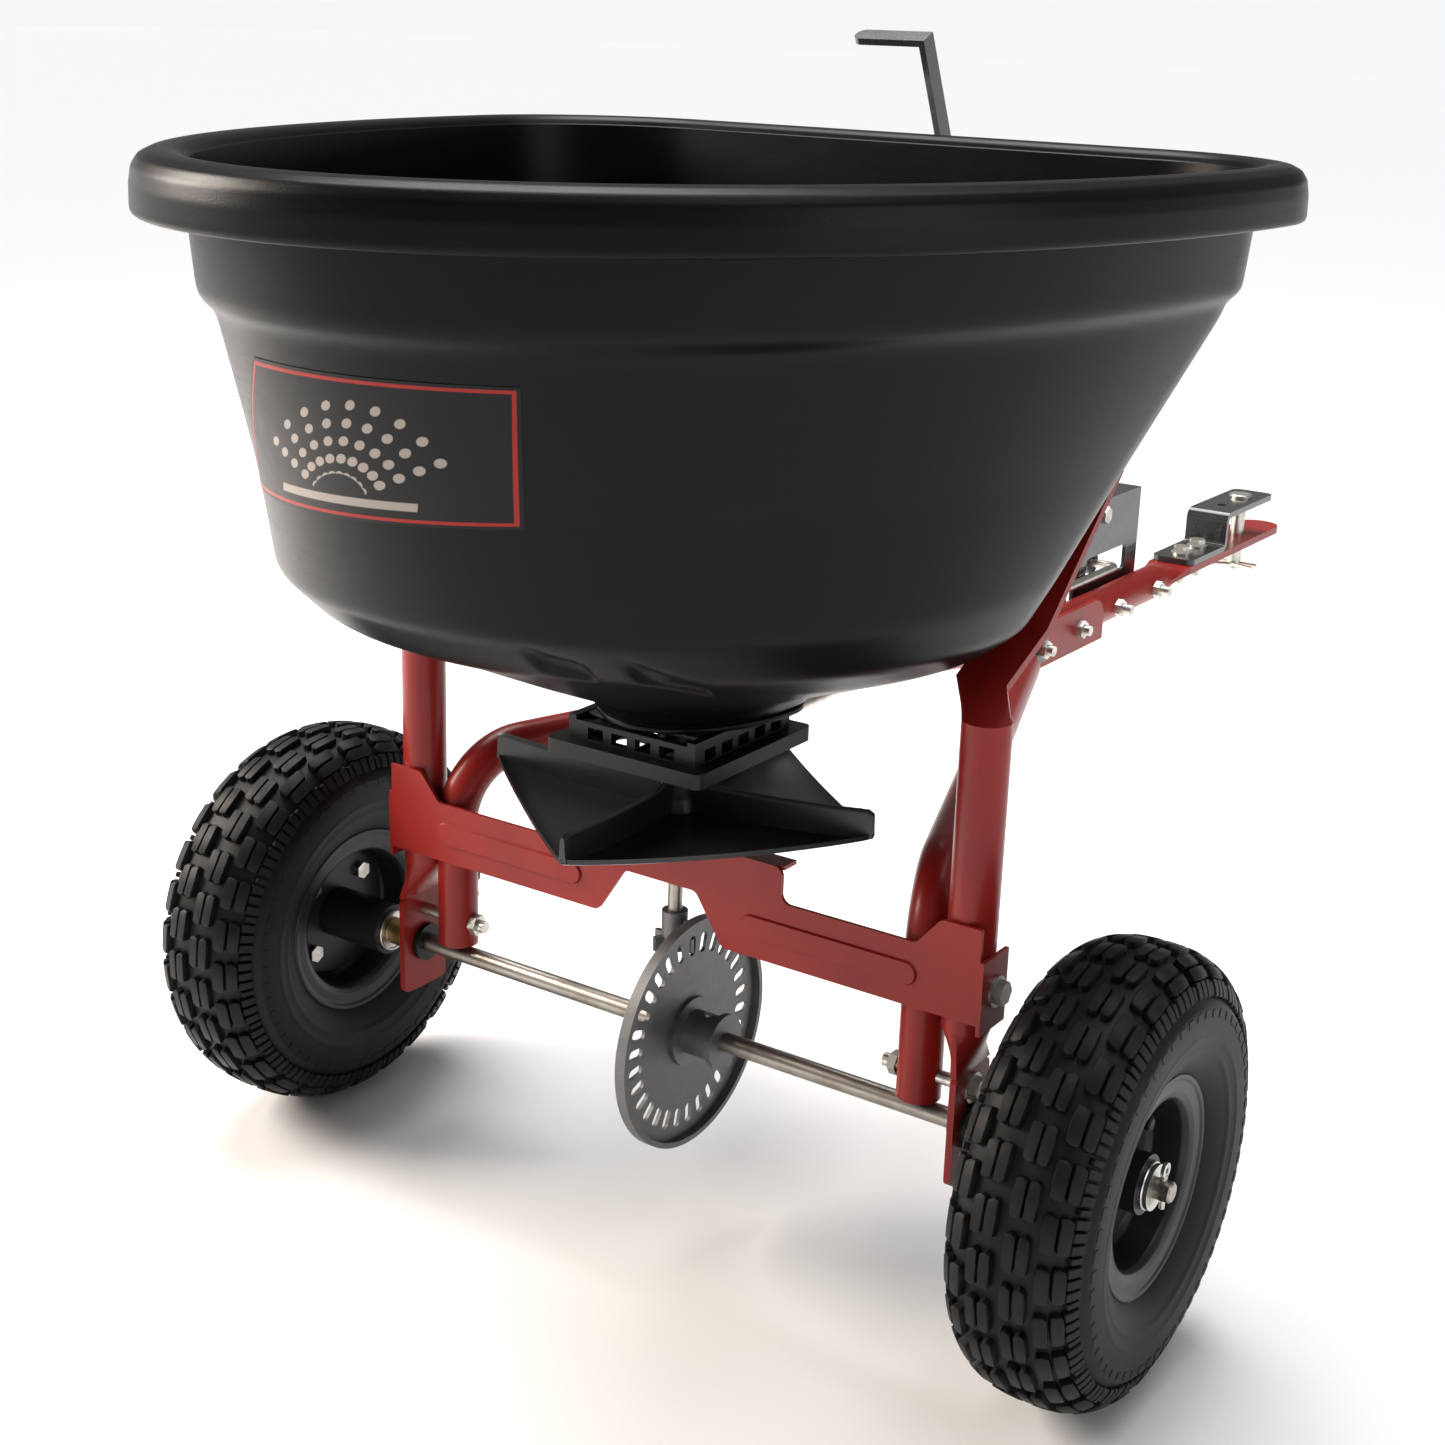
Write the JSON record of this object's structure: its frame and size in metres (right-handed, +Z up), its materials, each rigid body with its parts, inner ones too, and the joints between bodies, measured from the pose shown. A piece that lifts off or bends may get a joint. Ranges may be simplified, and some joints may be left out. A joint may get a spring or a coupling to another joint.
{
  "type": "tow-behind broadcast spreader",
  "caption": "Tow-behind broadcast spreader: black tub on a red tube frame, wheel-driven spinner disc, sliding gate with hand lever, pinned hitch.",
  "frame": {"origin": "on the ground, straight below the middle of the axle", "axes": "+X to the machine's right, +Y forward towards the hitch, +Z up"},
  "size_m": [0.6644, 1.2795, 0.7169],
  "materials": {
    "hopper_plastic": "matte",
    "frame_red": "satin",
    "gloss_black": "gloss",
    "zinc": "satin",
    "galvanised": "satin",
    "rim_black": "satin",
    "axle_steel": "satin",
    "brass": "satin",
    "tyre_rubber": "matte",
    "nylon_black": "matte",
    "bearing_chrome": "polished"
  },
  "bodies": {
    "frame": {"axle_bearing_left": "nylon_black", "axle_bearing_right": "nylon_black", "bracket_bolts": "zinc", "clevis_bolts": "zinc", "control_bracket": "gloss_black", "gate_housing": "nylon_black", "hitch_clevis": "gloss_black", "hopper": "hopper_plastic", "hopper_brace_left": "gloss_black", "hopper_brace_right": "gloss_black", "hopper_screws": "zinc", "inner_tube_left": "frame_red", "inner_tube_right": "frame_red", "lever_pivot_bolt": "zinc", "lever_spacer": "zinc", "lower_bush": "nylon_black", "outer_post_left": "frame_red", "outer_post_right": "frame_red", "post_bolts": "zinc", "rear_cross_plate": "frame_red", "stop_wing_nut": "zinc", "tongue": "frame_red", "tongue_bolts": "zinc", "upper_bush": "nylon_black"},
    "drive_axle": {"axle": "axle_steel", "drive_disc": "galvanised", "disc_hub": "galvanised", "drive_pins": "zinc", "axle_spacer_left": "brass", "axle_spacer_right": "brass", "wheel_cotter_left": "zinc", "wheel_cotter_right": "zinc", "hub_right": "rim_black", "hub_bushes_right": "bearing_chrome", "tyre_right": "tyre_rubber", "rim_inner_right": "rim_black", "rim_outer_right": "rim_black", "rim_bolts_right": "zinc", "valve_right": "tyre_rubber"},
    "idle_wheel": {"hub_left": "rim_black", "hub_bushes_left": "bearing_chrome", "tyre_left": "tyre_rubber", "rim_inner_left": "rim_black", "rim_outer_left": "rim_black", "rim_bolts_left": "zinc", "valve_left": "tyre_rubber"},
    "spinner": {"vertical_shaft": "axle_steel", "pinion": "galvanised", "shaft_pins": "zinc", "impeller": "nylon_black", "agitator": "axle_steel"},
    "flow_lever": {"flow_lever": "gloss_black"},
    "gate": {"gate_shutter": "galvanised", "control_rod": "zinc"},
    "hitch_pin": {"hitch_pin": "zinc", "hitch_pin_clip": "zinc"}
  },
  "joints": [
    {"name": "axle_roll", "type": "hinge", "parent": "frame", "child": "drive_axle", "pos_m": [0, 0, 0.13], "axis": [-1, 0, 0], "continuous": true},
    {"name": "idle_wheel_roll", "type": "hinge", "parent": "drive_axle", "child": "idle_wheel", "pos_m": [-0.291, 0, 0.13], "axis": [-1, 0, 0], "continuous": true},
    {"name": "spinner_turn", "type": "hinge", "parent": "frame", "child": "spinner", "pos_m": [0, 0, 0.272], "axis": [0, 0, 1], "continuous": true},
    {"name": "lever_swing", "type": "hinge", "parent": "frame", "child": "flow_lever", "pos_m": [-0.03, 0.612, 0.345], "axis": [-1, 0, 0], "range_deg": [0, 42.7]},
    {"name": "gate_slide", "type": "slide", "parent": "frame", "child": "gate", "axis": [0, -1, 0], "range_m": [0, 0.0361]},
    {"name": "hitch_pin_turn", "type": "hinge", "parent": "frame", "child": "hitch_pin", "pos_m": [0, 0.88, 0.2987], "axis": [0, 0, 1], "continuous": true}
  ],
  "couplings": [
    {"joint": "spinner_turn", "follows": "axle_roll", "ratio": 5},
    {"joint": "gate_slide", "follows": "lever_swing", "m_per_rad": 0.0483}
  ]
}
